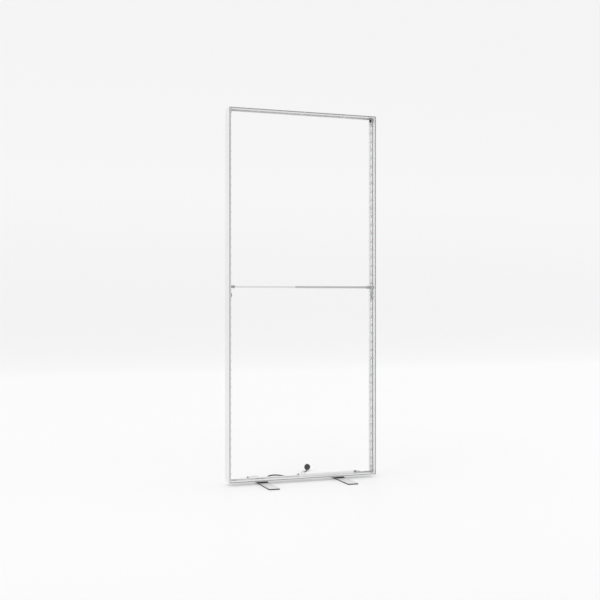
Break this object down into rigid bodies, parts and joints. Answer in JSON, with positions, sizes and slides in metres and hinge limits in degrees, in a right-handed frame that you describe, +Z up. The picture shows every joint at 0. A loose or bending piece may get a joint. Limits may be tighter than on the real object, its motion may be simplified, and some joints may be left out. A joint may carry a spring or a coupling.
{
  "type": "illuminated fabric frame partition",
  "caption": "Free-standing double-sided light-box frame for a stretched fabric print, with LED bars on its posts, a telescopic crossbar and swivelling flat feet.",
  "frame": {"origin": "on the floor, in the middle of the frame", "axes": "+X along the frame to the right, +Y to its back, +Z up"},
  "size_m": [0.85, 0.541, 2.016],
  "materials": {
    "profile": "satin anodised aluminium",
    "bracket": "zinc-plated steel",
    "screw": "zinc-plated steel",
    "carrier": "mill-finish aluminium",
    "led_board": "white solder mask",
    "lens": "clear moulded acrylic",
    "white_plastic": "moulded nylon",
    "black_plastic": "moulded, fine matt",
    "grey_plastic": "moulded, matt",
    "shoe_plastic": "moulded, matt",
    "dark_cable": "soft sheath",
    "grey_cable": "soft sheath",
    "black_cable": "soft sheath",
    "tube_grey": "grey satin steel tube",
    "tube_light": "satin aluminium tube",
    "psu_white": "white powder coat",
    "circuit": "solder mask",
    "component": "moulded",
    "plug_pin": "nickel plated",
    "foot_steel": "silver-grey powder coat",
    "sole_rubber": "matt rubber"
  },
  "bodies": {
    "frame": {"cable_clips": "white_plastic", "corner_bracket_left_lower": "bracket", "corner_bracket_left_upper": "bracket", "corner_bracket_right_lower": "bracket", "corner_bracket_right_upper": "bracket", "crossbar_outer_tube": "tube_grey", "crossbar_shoe_right": "shoe_plastic", "crossbar_spring": "screw", "crossbar_spring_stop": "grey_plastic", "dc_coupler": "grey_plastic", "foot_anchor_plates": "bracket", "foot_pivot_screws": "screw", "foot_spacers": "black_plastic", "frame_screws": "screw", "jumper_cable_left": "dark_cable", "jumper_cable_right": "dark_cable", "jumper_plugs": "white_plastic", "led_bar_screws": "screw", "led_board_left_lower": "led_board", "led_board_left_upper": "led_board", "led_board_right_lower": "led_board", "led_board_right_upper": "led_board", "led_carrier_left_lower": "carrier", "led_carrier_left_upper": "carrier", "led_carrier_right_lower": "carrier", "led_carrier_right_upper": "carrier", "led_lenses_left_lower": "lens", "led_lenses_left_upper": "lens", "led_lenses_right_lower": "lens", "led_lenses_right_upper": "lens", "led_supply_cable": "grey_cable", "link_plugs": "black_plastic", "mains_cord": "black_cable", "mains_gland": "black_plastic", "mains_plug": "black_plastic", "mains_plug_pins": "plug_pin", "post_left_lower": "profile", "post_left_upper": "profile", "post_right_lower": "profile", "post_right_upper": "profile", "post_splice_left": "bracket", "post_splice_right": "bracket", "psu_board": "circuit", "psu_case": "psu_white", "psu_components": "component", "psu_cradles": "white_plastic", "psu_end_cap": "psu_white", "psu_screws": "screw", "psu_terminal_cover": "psu_white", "rail_bottom": "profile", "rail_top": "profile", "supply_plug": "white_plastic", "top_link_cable": "grey_cable"},
    "crossbar_slider": {"crossbar_inner_tube": "tube_light", "crossbar_shoe_left": "shoe_plastic"},
    "foot_left": {"foot_plate_left": "foot_steel", "foot_sole_left": "sole_rubber"},
    "foot_right": {"foot_plate_right": "foot_steel", "foot_sole_right": "sole_rubber"}
  },
  "joints": [
    {"name": "crossbar_slide", "type": "slide", "parent": "frame", "child": "crossbar_slider", "axis": [1, 0, 0], "range_m": [0, 0.06], "stiffness_N_per_m": 250, "springref_m": -0.04, "deforming": ["crossbar_spring"]},
    {"name": "foot_left_swivel", "type": "hinge", "parent": "frame", "child": "foot_left", "pos_m": [-0.226, 0, 0.005], "axis": [0, 0, 1], "range_deg": [0, 90]},
    {"name": "foot_right_swivel", "type": "hinge", "parent": "frame", "child": "foot_right", "pos_m": [0.219, 0, 0.005], "axis": [0, 0, 1], "range_deg": [-90, 0]}
  ]
}
